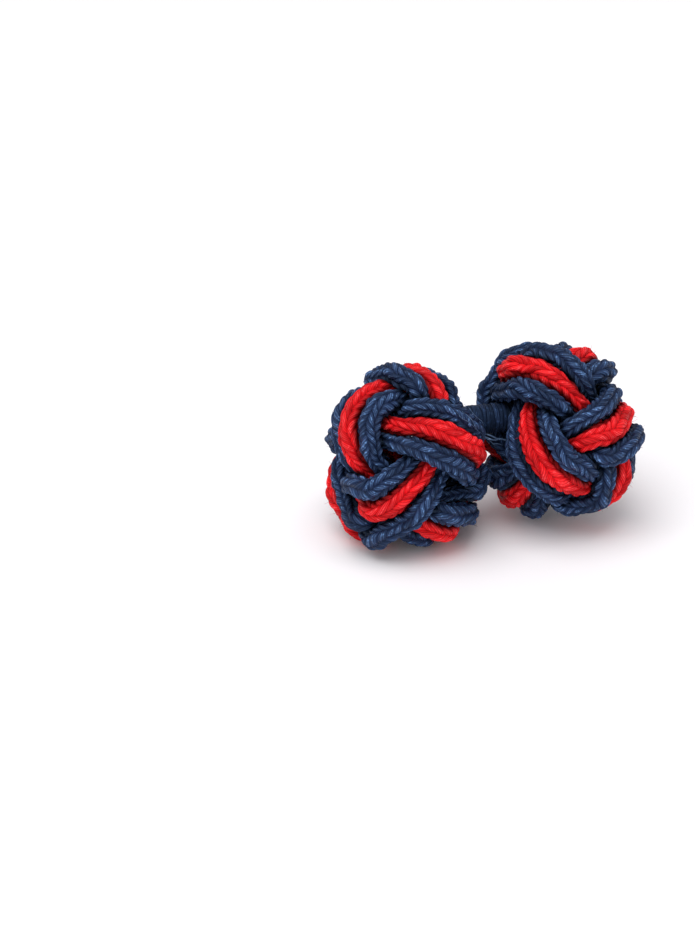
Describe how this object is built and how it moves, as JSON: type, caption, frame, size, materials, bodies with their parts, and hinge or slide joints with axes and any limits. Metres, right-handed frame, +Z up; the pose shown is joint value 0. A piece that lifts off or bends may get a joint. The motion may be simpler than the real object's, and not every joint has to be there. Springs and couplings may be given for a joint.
{
  "type": "silk knot cufflink",
  "caption": "Soft cuff button: two round knots woven from parallel braided cords, joined by a short ribbed elastic shank that a shirt cuff's buttonholes close on.",
  "frame": {"origin": "middle of the link's box, between the two knots", "axes": "+X from the front knot to the rear knot, along the shank; +Z up from the surface it lies on"},
  "size_m": [0.0212, 0.0124, 0.0122],
  "materials": {
    "front_navy_cord_a": "satin braided cord",
    "front_red_cord": "satin braided cord",
    "front_navy_cord_b": "satin braided cord",
    "rear_navy_cord_a": "satin braided cord",
    "rear_red_cord": "satin braided cord",
    "rear_navy_cord_b": "satin braided cord",
    "shank": "ribbed elastic yarn"
  },
  "bodies": {
    "root": {"front_knot_navy_a": "front_navy_cord_a", "front_knot_red": "front_red_cord", "front_knot_navy_b": "front_navy_cord_b", "rear_knot_navy_a": "rear_navy_cord_a", "rear_knot_red": "rear_red_cord", "rear_knot_navy_b": "rear_navy_cord_b", "shank": "shank"}
  },
  "joints": []
}
